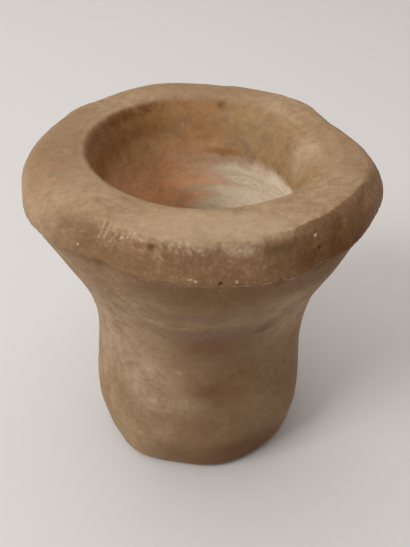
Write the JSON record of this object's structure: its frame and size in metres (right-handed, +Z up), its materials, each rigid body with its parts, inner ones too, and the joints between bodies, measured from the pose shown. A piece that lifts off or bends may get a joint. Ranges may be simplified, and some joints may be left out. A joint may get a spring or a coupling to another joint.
{
  "type": "alabaster vase",
  "caption": "Squat hand-carved alabaster vase with a waisted body, a broad heavy rim and a funnel mouth over a deep drilled bore.",
  "frame": {"origin": "centre of the flat underside of the foot, on the axis of the bore", "axes": "+Z up along the vase's axis, -Y towards the side that the picture shows nearest, with the flake scars of the rim"},
  "size_m": [0.091, 0.0899, 0.094],
  "materials": {
    "alabaster": "worn, softly rubbed alabaster: cloudy tan to grey-brown, brown-stained and chipped, low sheen"
  },
  "bodies": {
    "root": {"vase": "alabaster"}
  },
  "joints": []
}
